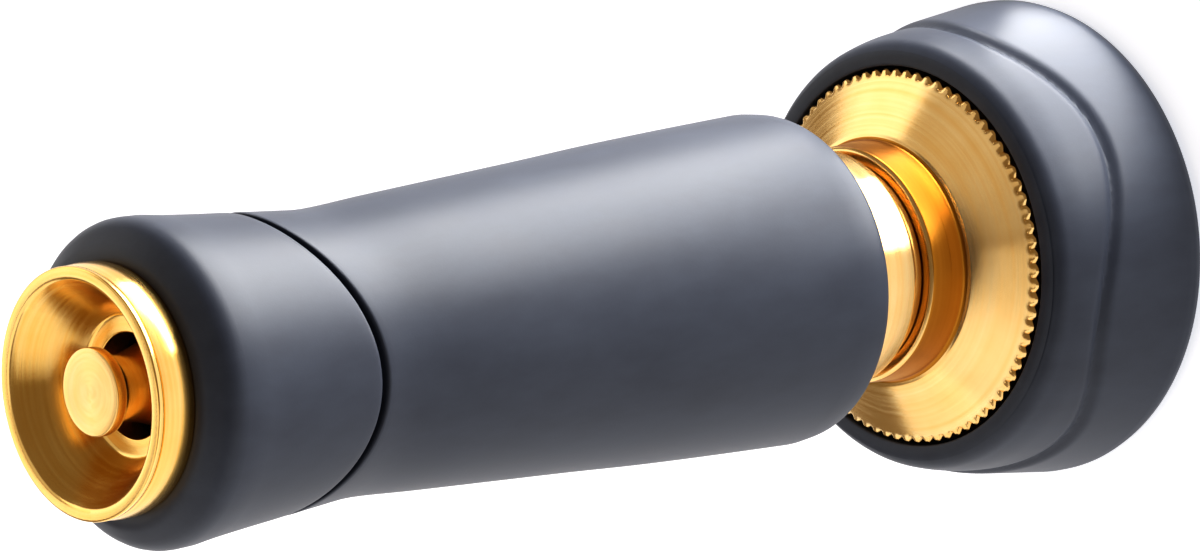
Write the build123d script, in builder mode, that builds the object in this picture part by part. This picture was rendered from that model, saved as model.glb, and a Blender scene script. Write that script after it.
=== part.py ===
"""Twist hose nozzle: a brass barrel with rubber grips that screws along a stem, on a swivel hose coupling.

The axis is Z. Z = 0 is the back face of the coupling, and the nose points along +Z. Millimetres throughout.
"""

import os
from math import cos, radians, sin, sqrt

from build123d import *

# hose coupling
HOSE_BORE_R = 12.3
THREAD_DEPTH = 9.3
RIM_R = 17.5
RIM_Z = 17.5
RIM_WIDTH = 4.2
RIM_TEETH = 80
TOOTH_DEPTH = 0.4
NUT_BACK_Z = 1.0
NUT_BODY_R = 16.8
HUB_EDGE_R = 11.8
HUB_EDGE_Z = 20.3
HUB_FRONT_R = 11.0
HUB_FRONT_Z = 24.5
GRIP_RING_R = 22.7
WALL_BACK_Z = 1.7
WALL_FRONT_R = 20.75
WALL_FRONT_Z = 14.4
CREASE_Z = 10.7
CREASE_WAVE = 1.55
CREASE_TURN = 28.0
CREASE_STEP = 0.35

# swivel between coupling and stem
JOURNAL_R = 8.6
SWIVEL_GAP = 0.06
FLANGE_R = 11.8
CHAMBER_R = 12.7
FLANGE_Z = 13.3
FLANGE_T = 1.8
THRUST_T = 0.6

# stem
BORE_R = 5.5
LAND_R = 7.8
THREAD_R = 8.5
THREAD_START_Z = 36.1
SEAL_LAND_END_Z = 60.0
STEM_R = 7.2
PORT_Z = 85.0
PORT_R = 2.6
BORE_END_Z = 88.0
STEM_NECK_R = 6.3
STEM_NECK_Z = 92.0
STEM_END_Z = 98.4
SEAL_SECTION = 1.8

# barrel, drawn 1.5 mm open
BARREL_BACK_Z = 26.2
BARREL_R = 11.0
BARREL_BORE_R = 8.75
BARREL_NOSE_R = 10.4
BARREL_FRONT_Z = 108.7
SKIRT_BORE_R = 10.15
RUNNING_GAP = 0.1

# nose cup and pintle
LIP_R = 10.7
BAND_R = 10.75
LIP_INNER_R = 9.6
LIP_Z = 113.4
CUP_FLOOR_R = 6.0
CUP_FLOOR_Z = 107.95
ORIFICE_R = 4.5
ORIFICE_BACK_Z = 105.4
CUP_BACK_Z = 101.0
PINTLE_HEAD_R = 3.73
PINTLE_Z = 112.2
SHANK_R = 3.0

# rubber grips on the barrel
GRIP_BORE_R = BARREL_R + 0.02
NOSE_BORE_R = BARREL_NOSE_R + 0.02
REAR_GRIP_BACK_Z = 33.3
PARTING_Z = 93.4
PARTING_WAVE = 2.55
PARTING_TURN = -10.0
PARTING_GAP = 0.45
GRIP_RIM_R = 13.0


def ring(inner_r, outer_r, back_z, front_z):
    """A plain flat ring around the nozzle's axis."""
    with BuildPart() as plain_ring:
        with BuildSketch(Plane.XY.offset(back_z)):
            Circle(outer_r)
            Circle(inner_r, mode=Mode.SUBTRACT)
        extrude(amount=front_z - back_z)
    return plain_ring.part


def seal_ring(inner_r, middle_z, section=SEAL_SECTION):
    """A round-section seal around the nozzle's axis."""
    with BuildPart() as seal:
        with BuildSketch(Plane.XZ):
            with Locations((inner_r + section / 2, middle_z)):
                Circle(section / 2)
        revolve(axis=Axis.Z)
    return seal.part


def upright_plane(turn):
    """A plane that holds the nozzle's axis, turned around it from the XZ plane."""
    across = radians(turn)
    return Plane(
        origin=(0, 0, 0),
        x_dir=(cos(across), sin(across), 0),
        z_dir=(sin(across), -cos(across), 0),
    )


def save(part, label):
    """Name a finished piece and write its file."""
    part.label = label
    export_step(part, f"parts/{label}.step")


os.makedirs("parts", exist_ok=True)


# ---------------------------------------------------------------- coupling

flange_front_z = FLANGE_Z + FLANGE_T
thrust_front_z = flange_front_z + THRUST_T
rim_back_z = RIM_Z - RIM_WIDTH

with BuildPart() as coupling_nut:
    with BuildSketch(Plane.XZ):
        with BuildLine():
            Polyline(
                (JOURNAL_R + SWIVEL_GAP, thrust_front_z + 0.1),
                (CHAMBER_R, thrust_front_z + 0.1),
                (CHAMBER_R, NUT_BACK_Z + THREAD_DEPTH),
                (HOSE_BORE_R, NUT_BACK_Z + THREAD_DEPTH),
                (HOSE_BORE_R, NUT_BACK_Z + 1.0),
                (HOSE_BORE_R + 1.0, NUT_BACK_Z),
                (15.2, NUT_BACK_Z),
                (15.2, rim_back_z),
                (RIM_R - 0.7, rim_back_z),
                (RIM_R, rim_back_z + 0.7),
                (RIM_R, RIM_Z - 0.2),
                (RIM_R - 0.15, RIM_Z),
                (HUB_EDGE_R, HUB_EDGE_Z),
            )
            ThreePointArc(
                (HUB_EDGE_R, HUB_EDGE_Z),
                (HUB_FRONT_R + 0.3, HUB_EDGE_Z + 0.25),
                (HUB_FRONT_R + 0.12, HUB_EDGE_Z + 0.8),
            )
            Polyline(
                (HUB_FRONT_R + 0.12, HUB_EDGE_Z + 0.8),
                (HUB_FRONT_R, HUB_FRONT_Z - 0.35),
                (HUB_FRONT_R - 0.35, HUB_FRONT_Z),
                (JOURNAL_R + SWIVEL_GAP, HUB_FRONT_Z),
                (JOURNAL_R + SWIVEL_GAP, thrust_front_z + 0.1),
            )
        make_face()
    revolve(axis=Axis.Z)
    # eight flats behind the rim key the rubber ring to the nut
    with BuildSketch(Plane.XY.offset(NUT_BACK_Z)):
        RegularPolygon(NUT_BODY_R, 8)
        Circle(15.1, mode=Mode.SUBTRACT)
    extrude(amount=rim_back_z - NUT_BACK_Z + 0.1)
    # knurled rim
    with BuildSketch(Plane.XY.offset(rim_back_z - 1)):
        with PolarLocations(RIM_R, RIM_TEETH):
            Polygon((-TOOTH_DEPTH, 0), (0.4, -0.72), (0.4, 0.72), align=None)
    extrude(amount=RIM_WIDTH + 2, mode=Mode.SUBTRACT)
save(coupling_nut.part, "coupling_nut")


# The ring is slimmer in front of a crease that waves four times round it. Each quarter has one wave.
crease_half = (GRIP_RING_R + WALL_FRONT_R) / 2 * sin(radians(45))
crease_low_z = CREASE_Z - CREASE_WAVE
crease_high_z = CREASE_Z + CREASE_WAVE
slim_r = WALL_FRONT_R - CREASE_STEP

with BuildPart() as slimmed_band:
    with BuildSketch(Plane.XZ):
        with BuildLine():
            Polyline((GRIP_RING_R - 0.6, 7.0), (slim_r, WALL_FRONT_Z))
            ThreePointArc((slim_r, WALL_FRONT_Z), (19.85, 16.4), (18.9, RIM_Z - 0.1))
            Polyline(
                (18.9, RIM_Z - 0.1),
                (18.9, RIM_Z + 1.5),
                (GRIP_RING_R + 1.3, RIM_Z + 1.5),
                (GRIP_RING_R + 1.3, 7.0),
                (GRIP_RING_R - 0.6, 7.0),
            )
        make_face()
    revolve(axis=Axis.Z)


def slimmed_quarter(turn):
    """What a quarter of the ring loses in front of the crease, which is lowest in the quarter's middle."""
    with BuildPart() as quarter:
        with BuildSketch(upright_plane(turn)):
            with BuildLine():
                wave = Spline(
                    (-crease_half, crease_high_z),
                    (0, crease_low_z),
                    (crease_half, crease_high_z),
                    tangents=((1, 0), (1, 0)),
                )
                Polyline(
                    wave @ 1,
                    (crease_half + 3, crease_high_z),
                    (crease_half + 3, RIM_Z + 3),
                    (-crease_half - 3, RIM_Z + 3),
                    (-crease_half - 3, crease_high_z),
                    wave @ 0,
                )
            make_face()
        extrude(amount=30)
        with BuildSketch():
            with Locations(Rotation(0, 0, turn - 90)):
                Polygon((0, 0), (30, -30), (30, 30), align=None)
        extrude(amount=30, mode=Mode.INTERSECT)
        add(slimmed_band.part, mode=Mode.INTERSECT)
    return quarter.part


slimmed_quarters = [slimmed_quarter(CREASE_TURN + 90 * quarter) for quarter in range(4)]

with BuildPart() as coupling_grip:
    with BuildSketch(Plane.XZ):
        with BuildLine():
            Polyline((14.9, 0), (GRIP_RING_R - 1.7, 0))
            ThreePointArc(
                (GRIP_RING_R - 1.7, 0),
                (GRIP_RING_R - 0.5, 0.5),
                (GRIP_RING_R, WALL_BACK_Z),
            )
            Polyline((GRIP_RING_R, WALL_BACK_Z), (WALL_FRONT_R, WALL_FRONT_Z))
            ThreePointArc((WALL_FRONT_R, WALL_FRONT_Z), (20.1, 16.6), (18.9, RIM_Z - 0.1))
            Polyline(
                (18.9, RIM_Z - 0.1),
                (RIM_R + 0.3, RIM_Z - 0.2),
                (RIM_R + 0.3, rim_back_z),
                (14.9, rim_back_z),
                (14.9, 0),
            )
        make_face()
    revolve(axis=Axis.Z)
    with BuildSketch(Plane.XY.offset(NUT_BACK_Z)):
        RegularPolygon(NUT_BODY_R, 8)
    extrude(amount=rim_back_z - NUT_BACK_Z, mode=Mode.SUBTRACT)
    add(slimmed_quarters, mode=Mode.SUBTRACT)
save(coupling_grip.part, "coupling_grip")

save(ring(8.0, HOSE_BORE_R - 0.1, FLANGE_Z - 2.8, FLANGE_Z), "hose_washer")


# ---------------------------------------------------------------- stem

clip_back_z = HUB_FRONT_Z + 0.15
clip_front_z = clip_back_z + 0.8
clip_groove_r = LAND_R - 0.6
seal_groove_r = THREAD_R - 1.65
rear_seal_z = 52.6
front_seal_z = 57.0
seal_groove_half = SEAL_SECTION / 2 + 0.2

with BuildPart() as stem:
    with BuildSketch(Plane.XZ):
        with BuildLine():
            Polyline(
                (BORE_R + 0.8, FLANGE_Z),
                (FLANGE_R, FLANGE_Z),
                (FLANGE_R, flange_front_z),
                (JOURNAL_R, flange_front_z),
                (JOURNAL_R, clip_back_z),
                (clip_groove_r, clip_back_z),
                (clip_groove_r, clip_front_z),
                (LAND_R, clip_front_z),
                (LAND_R, THREAD_START_Z - 0.6),
                (THREAD_R, THREAD_START_Z),
                (THREAD_R, rear_seal_z - seal_groove_half),
                (seal_groove_r, rear_seal_z - seal_groove_half),
                (seal_groove_r, rear_seal_z + seal_groove_half),
                (THREAD_R, rear_seal_z + seal_groove_half),
                (THREAD_R, front_seal_z - seal_groove_half),
                (seal_groove_r, front_seal_z - seal_groove_half),
                (seal_groove_r, front_seal_z + seal_groove_half),
                (THREAD_R, front_seal_z + seal_groove_half),
                (THREAD_R, SEAL_LAND_END_Z - 1.0),
                (STEM_R, SEAL_LAND_END_Z),
                (STEM_R, STEM_NECK_Z - 1.7),
                (STEM_NECK_R, STEM_NECK_Z),
                (STEM_NECK_R, STEM_END_Z),
                (SHANK_R + 0.02, STEM_END_Z),
                (SHANK_R + 0.02, BORE_END_Z + 1.5),
                (0, BORE_END_Z + 1.5),
                (0, BORE_END_Z),
                (BORE_R, BORE_END_Z),
                (BORE_R, FLANGE_Z + 0.8),
                close=True,
            )
        make_face()
    revolve(axis=Axis.Z)
    # cross ports let the water out of the stem, into the space inside the barrel
    with BuildSketch(Plane.YZ):
        with Locations((0, PORT_Z)):
            Circle(PORT_R)
    extrude(amount=STEM_R + 1, both=True, mode=Mode.SUBTRACT)
    with BuildSketch(Plane.XZ):
        with Locations((0, PORT_Z)):
            Circle(PORT_R)
    extrude(amount=STEM_R + 1, both=True, mode=Mode.SUBTRACT)
save(stem.part, "stem")

with BuildPart() as swivel_clip:
    with BuildSketch(Plane.XY.offset(clip_back_z + 0.02)):
        Circle(9.8)
        Circle(clip_groove_r + 0.02, mode=Mode.SUBTRACT)
        with Locations((10, 0)):
            Rectangle(6, 3, mode=Mode.SUBTRACT)
    extrude(amount=clip_front_z - clip_back_z - 0.04)
save(swivel_clip.part, "swivel_clip")

save(ring(JOURNAL_R + 0.05, FLANGE_R, flange_front_z, thrust_front_z), "thrust_washer")
save(seal_ring(seal_groove_r + 0.03, rear_seal_z), "rear_stem_seal")
save(seal_ring(seal_groove_r + 0.03, front_seal_z), "front_stem_seal")

with BuildPart() as pintle:
    with BuildSketch(Plane.XZ):
        with BuildLine():
            Polyline(
                (0, BORE_END_Z + 2.5),
                (SHANK_R - 0.4, BORE_END_Z + 2.5),
                (SHANK_R, BORE_END_Z + 2.9),
                (SHANK_R, STEM_END_Z),
                (5.6, STEM_END_Z),
                (5.6, 100.2),
                (4.3, 100.2),
                (4.3, 102.4),
                (4.85, 102.4),
                (4.35, 103.9),
                (2.95, 107.9),
            )
            ThreePointArc((2.95, 107.9), (2.7, 109.3), (2.75, 110.7))
            Polyline(
                (2.75, 110.7),
                (PINTLE_HEAD_R, PINTLE_Z - 0.9),
                (PINTLE_HEAD_R, PINTLE_Z - 0.15),
                (PINTLE_HEAD_R - 0.15, PINTLE_Z),
                (0, PINTLE_Z),
                (0, BORE_END_Z + 2.5),
            )
        make_face()
    revolve(axis=Axis.Z)
save(pintle.part, "pintle")

save(seal_ring(4.32, 101.3, 1.6), "plug_seal")


# ---------------------------------------------------------------- barrel

wiper_back_z = BARREL_BACK_Z + 1.5
wiper_front_z = wiper_back_z + 2.0
stop_back_z = wiper_front_z + 0.9
stop_front_z = stop_back_z + 1.0

with BuildPart() as wiper_seal:
    with BuildSketch(Plane.XZ):
        with BuildLine():
            Polyline(
                (LAND_R + RUNNING_GAP, wiper_back_z + 0.1),
                (9.9, wiper_back_z + 0.1),
                (9.9, wiper_front_z - 0.1),
                (LAND_R + 0.6, wiper_front_z - 0.1),
                close=True,
            )
        make_face()
    revolve(axis=Axis.Z)
save(wiper_seal.part, "wiper_seal")

with BuildPart() as barrel_tube:
    with BuildSketch(Plane.XZ):
        with BuildLine():
            Polyline(
                (SKIRT_BORE_R, BARREL_BACK_Z),
                (BARREL_R - 0.4, BARREL_BACK_Z),
                (BARREL_R, BARREL_BACK_Z + 0.4),
                (BARREL_R, 103.0),
                (BARREL_NOSE_R, 104.0),
                (BARREL_NOSE_R, BARREL_FRONT_Z),
                (BARREL_BORE_R, BARREL_FRONT_Z),
                (BARREL_BORE_R, 46.0),
                (THREAD_R + RUNNING_GAP, 45.0),
                (THREAD_R + RUNNING_GAP, stop_front_z),
                (9.9, stop_front_z),
                (9.9, stop_back_z),
                (9.0, stop_back_z),
                (9.0, wiper_front_z),
                (10.0, wiper_front_z),
                (10.0, wiper_back_z),
                (SKIRT_BORE_R, wiper_back_z),
                close=True,
            )
        make_face()
    revolve(axis=Axis.Z)
save(barrel_tube.part, "barrel_tube")

with BuildPart() as stop_ring:
    with BuildSketch(Plane.XY.offset(stop_back_z + 0.02)):
        Circle(9.88)
        Circle(LAND_R + 0.15, mode=Mode.SUBTRACT)
        with Locations((-9.5, 0)):
            Rectangle(5, 4, mode=Mode.SUBTRACT)
    extrude(amount=0.96)
save(stop_ring.part, "stop_ring")

with BuildPart() as nose_cup:
    with BuildSketch(Plane.XZ):
        with BuildLine():
            Polyline(
                (7.4, CUP_BACK_Z),
                (BARREL_BORE_R, CUP_BACK_Z),
                (BARREL_BORE_R, BARREL_FRONT_Z + 0.4),
                (10.05, BARREL_FRONT_Z + 0.4),
                (10.2, 109.9),
            )
            ThreePointArc((10.2, 109.9), (BAND_R, 111.4), (10.5, 112.7))
            Polyline(
                (10.5, 112.7),
                (10.35, 112.8),
                (LIP_R - 0.02, 112.9),
                (LIP_R - 0.05, LIP_Z - 0.25),
                (LIP_R - 0.3, LIP_Z),
                (LIP_INNER_R + 0.2, LIP_Z),
                (LIP_INNER_R, LIP_Z - 0.2),
                (CUP_FLOOR_R + 0.1, CUP_FLOOR_Z),
                (ORIFICE_R, CUP_FLOOR_Z),
                (ORIFICE_R, ORIFICE_BACK_Z),
                (7.4, ORIFICE_BACK_Z - 2.9),
                (7.4, CUP_BACK_Z),
            )
        make_face()
    revolve(axis=Axis.Z)
save(nose_cup.part, "nose_cup")

save(ring(BARREL_BORE_R + 0.02, 10.35, BARREL_FRONT_Z + 0.02, BARREL_FRONT_Z + 0.38), "nose_gasket")


# ---------------------------------------------------------------- barrel grips

# The two grips meet along a curved seam: the arc of a cylinder laid across the barrel
seam_r = GRIP_RIM_R**2 / (4 * PARTING_WAVE) + PARTING_WAVE
seam_low_z = PARTING_Z - PARTING_WAVE
seam_half = 15.5
seam_rise = seam_r - sqrt(seam_r**2 - seam_half**2)
seam_plane = upright_plane(PARTING_TURN)


def seam_side(low_z, far_z):
    """The space between the seam, at its lowest height, and a far height, wider than the grips."""
    with BuildPart() as space:
        with BuildSketch(seam_plane):
            with BuildLine():
                ThreePointArc((-seam_half, low_z + seam_rise), (0, low_z), (seam_half, low_z + seam_rise))
                Polyline(
                    (seam_half, low_z + seam_rise),
                    (seam_half, far_z),
                    (-seam_half, far_z),
                    (-seam_half, low_z + seam_rise),
                )
            make_face()
        extrude(amount=20, both=True)
    return space.part


front_space = seam_side(seam_low_z + PARTING_GAP / 2, 120)
rear_space = seam_side(seam_low_z - PARTING_GAP / 2, 20)

with BuildPart() as front_grip:
    with BuildSketch(Plane.XZ):
        with BuildLine():
            Polyline((GRIP_BORE_R, 88.0), (GRIP_BORE_R, 103.05), (NOSE_BORE_R, 104.05), (NOSE_BORE_R, 109.9))
            ThreePointArc((NOSE_BORE_R, 109.9), (13.1, 108.7), (14.05, 105.8))
            Spline((14.05, 105.8), (13.4, 99.8), (12.72, 91.0), (12.46, 88.0))
            Line((12.46, 88.0), (GRIP_BORE_R, 88.0))
        make_face()
    revolve(axis=Axis.Z)
    add(front_space, mode=Mode.INTERSECT)
save(front_grip.part, "front_grip")

with BuildPart() as rear_grip:
    with BuildSketch(Plane.XZ):
        with BuildLine():
            Polyline((GRIP_BORE_R, REAR_GRIP_BACK_Z), (14.1, REAR_GRIP_BACK_Z))
            ThreePointArc((14.1, REAR_GRIP_BACK_Z), (14.85, REAR_GRIP_BACK_Z + 0.55), (15.17, 36.0))
            Spline(
                (15.17, 36.0),
                (14.8, 45.5),
                (14.0, 60.0),
                (13.07, 77.0),
                (12.46, 87.5),
                (12.72, 91.0),
                (13.25, 98.0),
            )
            Polyline((13.25, 98.0), (GRIP_BORE_R, 98.0), (GRIP_BORE_R, REAR_GRIP_BACK_Z))
        make_face()
    revolve(axis=Axis.Z)
    add(rear_space, mode=Mode.INTERSECT)
save(rear_grip.part, "rear_grip")
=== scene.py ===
"""Looks of the twist hose nozzle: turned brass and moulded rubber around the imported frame.

The axis is Z, with the coupling on the floor and the nose up. The pieces' outlines, and the
sizes they are built from, are in millimetres. The camera, the lights and the floor are in metres.
"""

from math import atan2, cos, exp, pi, radians, sin, sqrt

import bmesh
import bpy
from mathutils import Matrix, Vector


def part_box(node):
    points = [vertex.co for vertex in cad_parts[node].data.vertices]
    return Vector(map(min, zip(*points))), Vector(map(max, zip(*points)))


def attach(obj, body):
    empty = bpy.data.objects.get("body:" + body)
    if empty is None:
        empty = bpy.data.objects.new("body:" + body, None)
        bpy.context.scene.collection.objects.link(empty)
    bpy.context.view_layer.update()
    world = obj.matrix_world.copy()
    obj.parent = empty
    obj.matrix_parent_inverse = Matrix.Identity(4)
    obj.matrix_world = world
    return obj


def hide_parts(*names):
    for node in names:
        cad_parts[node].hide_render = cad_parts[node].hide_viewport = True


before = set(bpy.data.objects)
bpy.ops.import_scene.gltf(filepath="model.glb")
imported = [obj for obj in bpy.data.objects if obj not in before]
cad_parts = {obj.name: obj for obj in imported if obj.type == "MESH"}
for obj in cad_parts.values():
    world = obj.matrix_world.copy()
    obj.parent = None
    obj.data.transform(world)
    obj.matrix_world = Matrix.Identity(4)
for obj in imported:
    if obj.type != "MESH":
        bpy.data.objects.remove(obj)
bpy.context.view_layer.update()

MM = 0.001
SEGMENTS = 240

# The main view, from the nose side and rolled so that the axis lies across the picture.
CAMERA_AZIMUTH = 6.2
CAMERA_ELEVATION = 41.6
CAMERA_ROLL = -99.3
CAMERA_DISTANCE = 0.5313
CAMERA_AIM = (0.0027, -0.0006, 0.0555)
CAMERA_LENS = 180
CAMERA_SENSOR = 36
CAMERA_NEAR = 0.05
CAMERA_FAR = 50

# The studio. A brightness of 1 looks white.
FLOOR_HALF = 6.0
FLOOR_LEVEL = -0.00002
FLOOR_COLOUR = (0.93, 0.93, 0.93, 1)
FLOOR_GLOW_COLOUR = (0.95, 0.98, 1.06, 1)
FLOOR_GLOW = 0.56
TABLE_LEVEL = 0.001
WORLD_COLOUR = (1.0, 0.76, 0.48, 1)
WORLD_BRIGHTNESS = 0.2
STUDIO_MIDDLE = (0, 0, 0.06)


# ---------------------------------------------------------------- sizes from the frame


def radius_of(node):
    """A round node's outer radius, in millimetres."""
    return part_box(node)[1].y / MM


def back_of(node):
    """The height of a node's back, in millimetres."""
    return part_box(node)[0].z / MM


def front_of(node):
    """The height of a node's front, in millimetres."""
    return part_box(node)[1].z / MM


# ---------------------------------------------------------------- mesh tools


def rounded(corners, steps=5):
    """A closed outline in millimetres. A corner is (r, z) or (r, z, fillet radius)."""
    points = []
    count = len(corners)
    for index, corner in enumerate(corners):
        here = Vector(corner[:2])
        if len(corner) < 3:
            points.append(here)
            continue
        before = Vector(corners[index - 1][:2]) - here
        after = Vector(corners[(index + 1) % count][:2]) - here
        reach = min(corner[2], before.length * 0.49, after.length * 0.49)
        start = here + before.normalized() * reach
        end = here + after.normalized() * reach
        for step in range(steps + 1):
            t = step / steps
            points.append(start.lerp(here, t).lerp(here.lerp(end, t), t))
    return points


def bulge(start, middle, end, steps=8):
    """Points along the circular arc through three (r, z) points."""
    (ax, ay), (bx, by), (cx, cy) = start, middle, end
    d = 2 * (ax * (by - cy) + bx * (cy - ay) + cx * (ay - by))
    a2, b2, c2 = ax * ax + ay * ay, bx * bx + by * by, cx * cx + cy * cy
    centre_r = (a2 * (by - cy) + b2 * (cy - ay) + c2 * (ay - by)) / d
    centre_z = (a2 * (cx - bx) + b2 * (ax - cx) + c2 * (bx - ax)) / d
    radius = sqrt((ax - centre_r) ** 2 + (ay - centre_z) ** 2)
    first = atan2(ay - centre_z, ax - centre_r)
    last = atan2(cy - centre_z, cx - centre_r)
    points = []
    for step in range(steps + 1):
        angle = first + (last - first) * step / steps
        points.append((centre_r + radius * cos(angle), centre_z + radius * sin(angle)))
    return points


def divided(points, longest):
    """The outline with no run longer than a given length, in millimetres."""
    result = []
    for index, point in enumerate(points):
        following = points[(index + 1) % len(points)]
        runs = max(1, round((following - point).length / longest))
        for run in range(runs):
            result.append(point.lerp(following, run / runs))
    return result


def turned(name, outline, shape=None, segments=SEGMENTS, crease=26):
    """A ring-shaped piece: the closed outline carried round the axis.

    shape moves the point (r, z) at an angle; an edge sharper than crease degrees stays sharp.
    """
    mesh = bmesh.new()
    columns = []
    for segment in range(segments):
        angle = 2 * pi * segment / segments
        column = []
        for point in outline:
            r, z = shape(point.x, point.y, angle) if shape else (point.x, point.y)
            column.append(mesh.verts.new((r * MM * cos(angle), r * MM * sin(angle), z * MM)))
        columns.append(column)
    count = len(outline)
    for segment in range(segments):
        here, there = columns[segment], columns[(segment + 1) % segments]
        for row in range(count):
            up = (row + 1) % count
            mesh.faces.new((here[row], there[row], there[up], here[up]))
    bmesh.ops.remove_doubles(mesh, verts=mesh.verts, dist=1e-7)
    bmesh.ops.recalc_face_normals(mesh, faces=mesh.faces)
    for face in mesh.faces:
        face.smooth = True
    for edge in mesh.edges:
        if len(edge.link_faces) == 2 and edge.calc_face_angle() > radians(crease):
            edge.smooth = False
    data = bpy.data.meshes.new(name)
    mesh.to_mesh(data)
    mesh.free()
    piece = bpy.data.objects.new(name, data)
    bpy.context.scene.collection.objects.link(piece)
    return piece


def place(piece, body, node, material):
    """The piece stands for a CAD node, rides on its body and takes a material."""
    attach(piece, body)
    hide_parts(node)
    piece.data.materials.append(material)
    return piece


def smooth_through(points, z):
    """The radius at height z on a smooth curve through (r, z) points."""
    for index in range(len(points) - 1):
        if z <= points[index + 1][1] or index == len(points) - 2:
            break
    r0, z0 = points[index]
    r1, z1 = points[index + 1]
    before = points[max(index - 1, 0)]
    after = points[min(index + 2, len(points) - 1)]
    span = z1 - z0
    slope0 = (r1 - before[0]) / (z1 - before[1])
    slope1 = (after[0] - r0) / (after[1] - z0)
    t = min(max((z - z0) / span, 0), 1)
    return (
        r0 * (1 + 2 * t) * (1 - t) ** 2
        + slope0 * span * t * (1 - t) ** 2
        + r1 * t * t * (3 - 2 * t)
        + slope1 * span * t * t * (t - 1)
    )


# ---------------------------------------------------------------- materials

RINGS_PER_METRE = 9000
STREAKS_PER_METRE = 2600
BRASS_RING_DEPTH = 0.00001
GRAIN_DEPTH = 0.00002
# A quarter turn stretches the gloss across the lathe's rings.
GLOSS_TURN = 0.25


class Nodes:
    """A short way to wire a material's nodes."""

    def __init__(self, name):
        self.material = bpy.data.materials.new(name)
        self.material.use_nodes = True
        self.tree = self.material.node_tree
        self.shader = self.tree.nodes["Principled BSDF"]

    def add(self, kind, **settings):
        node = self.tree.nodes.new("ShaderNode" + kind)
        for key, value in settings.items():
            setattr(node, key, value)
        return node

    def link(self, source, target):
        self.tree.links.new(source, target)

    def math(self, operation, *values):
        node = self.add("Math", operation=operation)
        for index, value in enumerate(values):
            if isinstance(value, (int, float)):
                node.inputs[index].default_value = value
            else:
                self.link(value, node.inputs[index])
        return node.outputs[0]

    def noise(self, vector, scale, detail=2.0, roughness=0.5):
        node = self.add("TexNoise")
        node.inputs["Scale"].default_value = scale
        node.inputs["Detail"].default_value = detail
        node.inputs["Roughness"].default_value = roughness
        self.link(vector, node.inputs["Vector"])
        return node.outputs["Fac"]

    def ramp(self, value, stops):
        node = self.add("ValToRGB")
        ramp = node.color_ramp
        while len(ramp.elements) < len(stops):
            ramp.elements.new(0.5)
        for element, (position, colour) in zip(ramp.elements, stops):
            element.position = position
            element.color = (*colour, 1)
        self.link(value, node.inputs["Fac"])
        return node.outputs["Color"]

    def spread(self, value, low, high):
        """A 0-to-1 value mapped from low to high."""
        node = self.add("MapRange")
        node.inputs["To Min"].default_value = low
        node.inputs["To Max"].default_value = high
        self.link(value, node.inputs["Value"])
        return node.outputs["Result"]

    def bump(self, height, strength, distance):
        node = self.add("Bump")
        node.inputs["Strength"].default_value = strength
        node.inputs["Distance"].default_value = distance
        self.link(height, node.inputs["Height"])
        self.link(node.outputs["Normal"], self.shader.inputs["Normal"])


def turned_brass(name, light, dark, roughness=0.185, anisotropy=0.55):
    """Brass off a lathe: fine rings, streaks of colour that follow them, and stretched gloss."""
    nodes = Nodes(name)
    place_on = nodes.add("TexCoord").outputs["Object"]
    parts = nodes.add("SeparateXYZ")
    nodes.link(place_on, parts.inputs[0])
    x, y, z = parts.outputs
    x_squared, y_squared = nodes.math("MULTIPLY", x, x), nodes.math("MULTIPLY", y, y)
    radial = nodes.math("SQRT", nodes.math("ADD", x_squared, y_squared))
    angle = nodes.math("ARCTAN2", y, x)
    rings = nodes.add("CombineXYZ")
    nodes.link(nodes.math("MULTIPLY", radial, RINGS_PER_METRE), rings.inputs[0])
    nodes.link(nodes.math("MULTIPLY", angle, 0.35), rings.inputs[1])
    nodes.link(nodes.math("MULTIPLY", z, RINGS_PER_METRE), rings.inputs[2])
    fine = nodes.noise(rings.outputs[0], 1.0, 2.0)
    streaks = nodes.add("CombineXYZ")
    nodes.link(nodes.math("MULTIPLY", radial, STREAKS_PER_METRE), streaks.inputs[0])
    nodes.link(nodes.math("MULTIPLY", angle, 0.5), streaks.inputs[1])
    nodes.link(nodes.math("MULTIPLY", z, STREAKS_PER_METRE), streaks.inputs[2])
    broad = nodes.noise(streaks.outputs[0], 1.0, 3.0)
    cloudy = nodes.noise(place_on, 190.0, 3.0)
    mix = nodes.math("ADD", nodes.math("MULTIPLY", broad, 0.6), nodes.math("MULTIPLY", cloudy, 0.4))
    nodes.link(nodes.ramp(mix, [(0.3, dark), (0.7, light)]), nodes.shader.inputs["Base Color"])
    gloss = nodes.spread(broad, roughness - 0.06, roughness + 0.09)
    nodes.link(gloss, nodes.shader.inputs["Roughness"])
    tangent = nodes.add("Tangent", direction_type="RADIAL", axis="Z")
    nodes.link(tangent.outputs[0], nodes.shader.inputs["Tangent"])
    nodes.shader.inputs["Metallic"].default_value = 1.0
    nodes.shader.inputs["Anisotropic"].default_value = anisotropy
    nodes.shader.inputs["Anisotropic Rotation"].default_value = GLOSS_TURN
    nodes.bump(fine, 0.22, BRASS_RING_DEPTH)
    return nodes.material


def moulded_rubber(name, light, dark, roughness=0.45):
    """Satin moulded rubber: a fine grain and faint cloudy patches."""
    nodes = Nodes(name)
    place_on = nodes.add("TexCoord").outputs["Object"]
    stretch = nodes.add("Mapping")
    stretch.inputs["Scale"].default_value = (1.0, 1.0, 0.45)
    nodes.link(place_on, stretch.inputs["Vector"])
    clouds = nodes.noise(stretch.outputs[0], 260.0, 4.0, 0.6)
    grain = nodes.noise(place_on, 5200.0, 2.0)
    nodes.link(nodes.ramp(clouds, [(0.3, dark), (0.72, light)]), nodes.shader.inputs["Base Color"])
    gloss = nodes.spread(clouds, roughness - 0.05, roughness + 0.06)
    nodes.link(gloss, nodes.shader.inputs["Roughness"])
    nodes.shader.inputs["Specular IOR Level"].default_value = 0.28
    nodes.bump(grain, 0.2, GRAIN_DEPTH)
    return nodes.material


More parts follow.
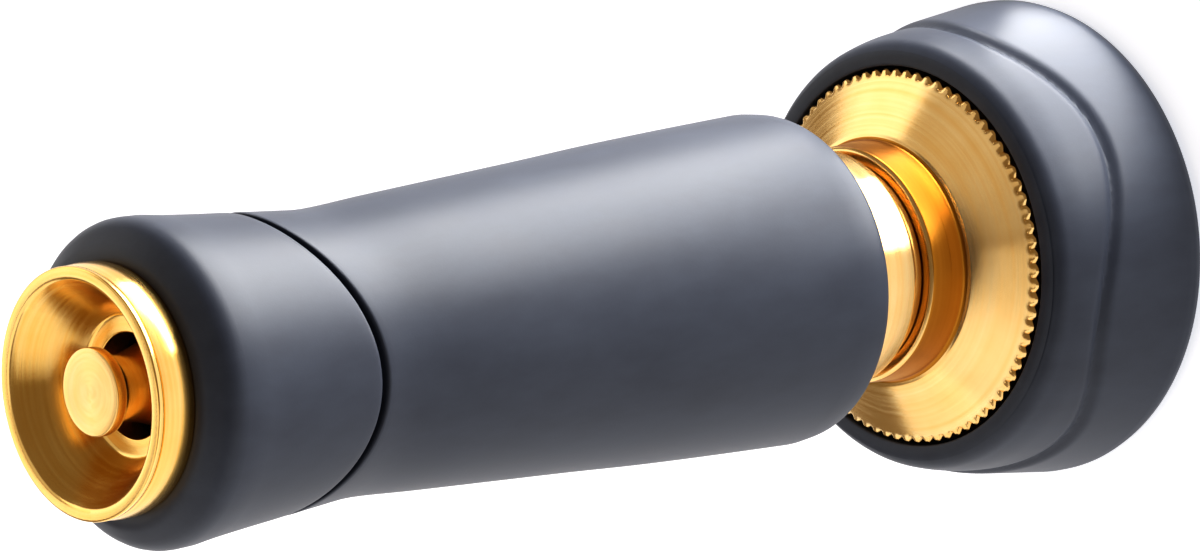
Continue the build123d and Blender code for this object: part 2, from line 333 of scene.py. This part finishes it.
def smooth_solid(name, light, dark, roughness, metallic=0.0):
    """A small inner piece: seal rubber, nylon or spring steel, with faint mottling."""
    nodes = Nodes(name)
    place_on = nodes.add("TexCoord").outputs["Object"]
    clouds = nodes.noise(place_on, 500.0, 3.0)
    nodes.link(nodes.ramp(clouds, [(0.3, dark), (0.7, light)]), nodes.shader.inputs["Base Color"])
    gloss = nodes.spread(clouds, roughness - 0.05, roughness + 0.08)
    nodes.link(gloss, nodes.shader.inputs["Roughness"])
    nodes.shader.inputs["Metallic"].default_value = metallic
    nodes.bump(nodes.noise(place_on, 4000.0), 0.2, GRAIN_DEPTH)
    return nodes.material


brass = turned_brass("turned_brass", (0.97, 0.69, 0.32), (0.84, 0.49, 0.14))
cup_brass = turned_brass("cup_brass", (0.97, 0.67, 0.25), (0.84, 0.46, 0.09))
# This much darker brass is painted shade for the hub's recess, not the metal's own colour.
painted_shade_hub_brass = turned_brass("painted_shade_hub_brass", (0.42, 0.165, 0.018), (0.35, 0.13, 0.012), 0.3, 0.4)
spring_brass = turned_brass("spring_brass", (0.88, 0.50, 0.14), (0.80, 0.42, 0.10), 0.22, 0.4)
rubber = moulded_rubber("grip_rubber", (0.038, 0.046, 0.068), (0.027, 0.033, 0.051))
seal_rubber = smooth_solid("seal_rubber", (0.022, 0.022, 0.023), (0.012, 0.012, 0.013), 0.42)
nylon = smooth_solid("nylon", (0.80, 0.78, 0.72), (0.72, 0.70, 0.64), 0.45)
spring_steel = smooth_solid("spring_steel", (0.58, 0.58, 0.60), (0.48, 0.48, 0.50), 0.3, 1.0)


# ---------------------------------------------------------------- coupling

THREAD_PITCH = 2.209
THREAD_HEIGHT = 1.2
RIM_TEETH = 80
TOOTH_DEPTH = 0.38
HUB_FOOT = 20.38

nut_back = back_of("coupling_nut")
nut_front = front_of("coupling_nut")
rim_r = radius_of("coupling_nut")
rim_front = 17.5
rim_back = rim_front - 4.2
hose_bore = 12.3
thread_back = nut_back + 1.0
thread_front = nut_back + 9.3
thread_run_out = 0.8
washer_seat_r = 12.7
washer_seat_front = 15.8
skirt_r = 15.4
stem_journal = 8.66
hub_r = 11.0


def nut_shape(r, z, angle):
    """The knurled rim outside, and the right-hand hose thread inside."""
    if r > rim_r - 0.6 and z > rim_back - 0.1:
        place_in_tooth = (angle / (2 * pi) * RIM_TEETH) % 1
        valley = max(0, 1 - abs(place_in_tooth - 0.5) / 0.36)
        r -= TOOTH_DEPTH * valley * min(1, (r - rim_r + 0.6) / 0.3)
    if abs(r - hose_bore) < 0.01 and thread_back < z < thread_front:
        turn = ((z - nut_back) / THREAD_PITCH - angle / (2 * pi)) % 1
        groove = min(1, max(0, (0.5 - abs(turn - 0.5)) * 2 * 1.6 - 0.25))
        ease = min(1, (z - thread_back) / thread_run_out, (thread_front - z) / thread_run_out)
        r += THREAD_HEIGHT * groove * ease
    return r, z


nut_outline = rounded(
    [
        (stem_journal, washer_seat_front),
        (washer_seat_r, washer_seat_front),
        (washer_seat_r, thread_front),
        (hose_bore, thread_front),
        (hose_bore, thread_back),
        (hose_bore + 1.0, nut_back, 0.2),
        (skirt_r, nut_back, 0.3),
        (skirt_r, rim_back),
        (rim_r - 0.7, rim_back, 0.2),
        (rim_r, rim_back + 0.7, 0.2),
        (rim_r, rim_front - 0.2),
        (rim_r - 0.15, rim_front),
        (11.8, 20.3, 0.1),
        (11.2, 20.45, 0.5),
        (hub_r, nut_front - 0.3, 0.12),
        (10.7, nut_front, 0.12),
        (stem_journal, nut_front, 0.1),
    ]
)
nut = turned("coupling_nut_body", divided(nut_outline, 0.22), nut_shape, segments=RIM_TEETH * 10)
place(nut, "coupling", "coupling_nut", brass)

# The hub's wall takes a much darker brass colour, painted shade for the dark recess between the rim
# and the neck.
nut.data.materials.append(painted_shade_hub_brass)
for face in nut.data.polygons:
    r = sqrt(face.center.x**2 + face.center.y**2) / MM
    if hub_r - 0.1 < r < hub_r + 0.7 and HUB_FOOT < face.center.z / MM < nut_front - 0.25:
        face.material_index = 1

ring_r = radius_of("coupling_grip")
ring_front = front_of("coupling_grip")
CREASE_MIDDLE = 10.7
CREASE_WAVE = 1.55
CREASE_WAVES = 4
CREASE_TURN = radians(62)
CREASE_STEP = 0.34
CREASE_DEPTH = 0.38
CREASE_WIDTH = 0.55


def crease_height(angle):
    """The height of the wavy crease around the ring."""
    return CREASE_MIDDLE - CREASE_WAVE * cos(CREASE_WAVES * (angle + CREASE_TURN))


def ring_shape(r, z, angle):
    """The crease is a groove, and in front of it the ring is a little slimmer."""
    if r < 19.2 or z < 2:
        return r, z
    ahead = z - crease_height(angle)
    step = 1 / (1 + exp(-ahead / 0.2))
    groove = exp(-((ahead / CREASE_WIDTH) ** 2))
    return r - CREASE_STEP * step - CREASE_DEPTH * groove, z


ring_outline = rounded(
    [
        (14.9, 0, 0.5),
        (ring_r, 0, 2.2),
        (20.95, 14.2, 2.0),
        (20.3, 16.6, 1.2),
        (18.9, ring_front, 1.0),
        (17.75, ring_front, 0.3),
        (17.75, rim_back),
        (15.5, rim_back),
        (15.5, nut_back + 0.05),
        (14.9, nut_back + 0.05),
    ]
)
ring = turned("coupling_ring_grip", divided(ring_outline, 0.25), ring_shape)
place(ring, "coupling", "coupling_grip", rubber)


# ---------------------------------------------------------------- barrel and nose

neck_r = radius_of("barrel_tube")
neck_back = back_of("barrel_tube")
tube_front = front_of("barrel_tube")
barrel_bore = 8.75

tube_outline = rounded(
    [
        (10.15, neck_back, 0.1),
        (neck_r - 0.35, neck_back, 0.15),
        (neck_r, neck_back + 0.4, 0.2),
        (neck_r, 103.0),
        (10.4, 104.0),
        (10.4, tube_front),
        (barrel_bore, tube_front),
        (barrel_bore, 46.0),
        (8.6, 45.0),
        (8.6, 31.6),
        (9.9, 31.6),
        (9.9, 30.6),
        (9.0, 30.6),
        (9.0, 29.7),
        (10.0, 29.7),
        (10.0, 27.7),
        (10.15, 27.7),
    ]
)
tube = turned("barrel_tube_body", divided(tube_outline, 3.0))
place(tube, "barrel", "barrel_tube", brass)

lip_z = front_of("nose_cup")
cup_r = radius_of("nose_cup")
cup_back = back_of("nose_cup")
CUP_FLOOR = 107.95
cup_outline = rounded(
    [
        (7.4, cup_back),
        (barrel_bore, cup_back),
        (barrel_bore, tube_front + 0.4),
        (10.05, tube_front + 0.4),
        *bulge((10.5, tube_front + 0.75), (cup_r, 111.2), (10.56, lip_z - 0.72)),
        (10.42, lip_z - 0.64, 0.04),
        (cup_r - 0.12, lip_z - 0.54, 0.08),
        (cup_r - 0.06, lip_z, 0.3),
        (9.6, lip_z, 0.25),
        (6.05, CUP_FLOOR, 0.3),
        (4.5, CUP_FLOOR, 0.12),
        (4.5, CUP_FLOOR - 2.55),
        (7.4, CUP_FLOOR - 5.45),
    ]
)
cup = turned("nose_cup_body", divided(cup_outline, 0.5))
place(cup, "barrel", "nose_cup", cup_brass)

pintle_front = front_of("pintle")
pintle_back = back_of("pintle")
pintle_outline = rounded(
    [
        (0.02, pintle_back),
        (2.6, pintle_back),
        (3.0, pintle_back + 0.4),
        (3.0, 98.4),
        (5.6, 98.4),
        (5.6, 100.2),
        (4.3, 100.2),
        (4.3, 102.4),
        (4.85, 102.4, 0.2),
        (4.35, 103.9, 0.4),
        (2.9, 108.0, 1.2),
        (2.72, 110.6, 0.5),
        (3.73, 111.2, 0.15),
        (3.73, pintle_front, 0.14),
        (0.02, pintle_front),
    ]
)
pintle = turned("pintle_body", divided(pintle_outline, 0.6), segments=120)
place(pintle, "stem", "pintle", brass)


# ---------------------------------------------------------------- rubber grips

GRIP_PROFILE = [
    (15.17, 36.0),
    (14.8, 45.5),
    (14.4, 54.0),
    (13.9, 62.0),
    (13.4, 71.0),
    (12.9, 80.0),
    (12.46, 87.5),
    (12.72, 91.5),
    (13.05, 95.5),
    (13.4, 99.8),
    (13.75, 103.5),
    (14.05, 105.8),
]
SEAM_LOW = 90.85
SEAM_R = 19.12
SEAM_TURN = radians(-10)
SEAM_GAP = 0.5
SEAM_ROUND = 0.45
SEAM_TONGUE_R = 11.75
SEAM_REFERENCE = 93.4
SEAM_BACK = SEAM_REFERENCE - SEAM_GAP / 2
SEAM_FRONT = SEAM_REFERENCE + SEAM_GAP / 2

grip_back = back_of("rear_grip")
nose_face = front_of("front_grip") - 0.3


def seam_height(r, angle):
    """The grips meet along the arc of a cylinder laid across the barrel."""
    across = r * cos(angle - SEAM_TURN)
    return SEAM_LOW + SEAM_R - sqrt(SEAM_R**2 - across**2)


def grip_shape(far_z):
    """Slides the seam end of a grip's outline onto the seam, and keeps its outside on the profile."""

    def shape(r, z, angle):
        share = (z - far_z) / (SEAM_REFERENCE - far_z)
        share = min(max(share, 0), 1)
        slid = z + (seam_height(r, angle) - SEAM_REFERENCE) * share
        if r > 11.8 and share > 0:
            r += smooth_through(GRIP_PROFILE, slid) - smooth_through(GRIP_PROFILE, z)
        return r, slid

    return shape


def profile_points(start, end, step):
    """Points up the grips' outside between two heights."""
    count = max(2, round(abs(end - start) / step))
    heights = [start + (end - start) * index / count for index in range(count + 1)]
    return [(smooth_through(GRIP_PROFILE, z), z) for z in heights]


seam_r = smooth_through(GRIP_PROFILE, SEAM_REFERENCE)
rear_corners = [(11.0, grip_back), (14.2, grip_back, 0.3), (14.95, grip_back + 0.75, 0.5)]
rear_corners += profile_points(36.0, SEAM_REFERENCE - 1.4, 1.5)
rear_corners += [(seam_r, SEAM_BACK, SEAM_ROUND), (SEAM_TONGUE_R, SEAM_BACK)]
rear_corners += [(SEAM_TONGUE_R, SEAM_FRONT - 0.02), (10.8, SEAM_FRONT - 0.02)]
rear_corners += [(10.8, SEAM_REFERENCE - 2.0)]
rear = turned("rear_grip_sleeve", divided(rounded(rear_corners), 1.5), grip_shape(70.0))
place(rear, "barrel", "rear_grip", rubber)

front_corners = [(11.0, SEAM_FRONT), (seam_r, SEAM_FRONT, SEAM_ROUND)]
front_corners += profile_points(SEAM_REFERENCE + 1.4, 105.2, 1.2)
front_corners += [(14.05, 107.9, 2.4), (11.6, nose_face, 1.4), (10.35, nose_face, 0.4)]
front_corners += [(10.4, 104.0), (11.0, 103.0)]
front = turned("front_grip_cover", divided(rounded(front_corners), 1.2), grip_shape(104.0))
place(front, "barrel", "front_grip", rubber)


# ---------------------------------------------------------------- pieces that keep their CAD shape

for node, material in {
    "stem": brass,
    "swivel_clip": spring_brass,
    "hose_washer": seal_rubber,
    "rear_stem_seal": seal_rubber,
    "front_stem_seal": seal_rubber,
    "plug_seal": seal_rubber,
    "wiper_seal": seal_rubber,
    "thrust_washer": nylon,
    "nose_gasket": nylon,
    "stop_ring": spring_steel,
}.items():
    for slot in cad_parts[node].material_slots:
        slot.material = material


# ---------------------------------------------------------------- studio


def studio_floor():
    """A plain pale floor under the coupling."""
    half, level = FLOOR_HALF, FLOOR_LEVEL
    data = bpy.data.meshes.new("studio_floor")
    corners = [(x * half, y * half, level) for x, y in ((-1, -1), (1, -1), (1, 1), (-1, 1))]
    data.from_pydata(corners, [], [(0, 1, 2, 3)])
    floor = bpy.data.objects.new("studio_floor", data)
    bpy.context.scene.collection.objects.link(floor)
    nodes = Nodes("pale_floor")
    nodes.shader.inputs["Base Color"].default_value = FLOOR_COLOUR
    nodes.shader.inputs["Roughness"].default_value = 0.9
    nodes.shader.inputs["Specular IOR Level"].default_value = 0.1
    nodes.shader.inputs["Emission Color"].default_value = FLOOR_GLOW_COLOUR
    nodes.shader.inputs["Emission Strength"].default_value = FLOOR_GLOW
    data.materials.append(nodes.material)


def softbox(name, position, aim, width, height, brightness):
    """A rectangular studio light that faces a point."""
    light = bpy.data.lights.new(name, "AREA")
    light.shape = "RECTANGLE"
    light.size = width
    light.size_y = height
    light.energy = brightness * pi * width * height
    lamp = bpy.data.objects.new(name, light)
    lamp.location = position
    lamp.rotation_mode = "QUATERNION"
    lamp.rotation_quaternion = (Vector(aim) - Vector(position)).to_track_quat("-Z", "Y")
    bpy.context.scene.collection.objects.link(lamp)


def light_table(name, turn, near, far, right, left, brightness):
    """A lit rectangle of the floor, which runs out from the nozzle in a turned direction."""
    away = Vector((cos(radians(turn)), sin(radians(turn)), 0))
    beside = Vector((-away.y, away.x, 0))
    place_at = away * (near + far) / 2 + beside * (right + left) / 2 + Vector((0, 0, TABLE_LEVEL))
    light = bpy.data.lights.new(name, "AREA")
    light.shape = "RECTANGLE"
    light.size = far - near
    light.size_y = left - right
    light.energy = brightness * pi * light.size * light.size_y
    lamp = bpy.data.objects.new(name, light)
    lamp.location = place_at
    lamp.rotation_euler = (pi, 0, radians(turn))
    bpy.context.scene.collection.objects.link(lamp)


def studio_world():
    """A dim warm surround."""
    world = bpy.data.worlds.new("studio")
    world.use_nodes = True
    background = world.node_tree.nodes["Background"]
    background.inputs["Color"].default_value = WORLD_COLOUR
    background.inputs["Strength"].default_value = WORLD_BRIGHTNESS
    bpy.context.scene.world = world


def main_camera():
    """The camera of the main view, which looks at the aim and is then rolled."""
    azimuth, elevation = radians(CAMERA_AZIMUTH), radians(CAMERA_ELEVATION)
    back = Vector((sin(azimuth) * cos(elevation), -cos(azimuth) * cos(elevation), sin(elevation)))
    data = bpy.data.cameras.new("camera")
    data.lens = CAMERA_LENS
    data.sensor_width = CAMERA_SENSOR
    data.clip_start = CAMERA_NEAR
    data.clip_end = CAMERA_FAR
    camera = bpy.data.objects.new("camera", data)
    camera.location = Vector(CAMERA_AIM) + back * CAMERA_DISTANCE
    level = (-back).to_track_quat("-Z", "Y").to_matrix()
    camera.rotation_mode = "QUATERNION"
    roll = Matrix.Rotation(radians(CAMERA_ROLL), 3, "Z")
    camera.rotation_quaternion = (level @ roll).to_quaternion()
    bpy.context.scene.collection.objects.link(camera)
    bpy.context.scene.camera = camera


studio_floor()
studio_world()
# Lit panels on the floor, on the nozzle's +X side, light the rubber from below.
light_table("light_table", 12, 0.046, 0.26, -0.16, 0.0, 12.3)
light_table("ring_light_table", -25, 0.0235, 0.045, -0.032, 0.010, 10.5)
softbox("overhead_softbox", (-0.52, 0.3, 1.0), (-0.52, 0.3, 0), 1.0, 1.0, 0.9)
softbox("dim_overhead_softbox", (0.46, 0.3, 1.0), (0.46, 0.3, 0), 0.9, 1.0, 0.4)
softbox("low_side_softbox", (-0.95, 0.45, 0.4), STUDIO_MIDDLE, 0.9, 0.9, 0.9)
softbox("back_softbox", (0.38, 1.02, 0.66), STUDIO_MIDDLE, 1.6, 0.7, 1.25)
softbox("front_side_softbox", (-0.82, -0.57, 0.3), STUDIO_MIDDLE, 1.5, 0.7, 0.9)
main_camera()
bpy.context.scene.view_settings.view_transform = "Standard"
bpy.context.scene.view_settings.look = "Medium High Contrast"
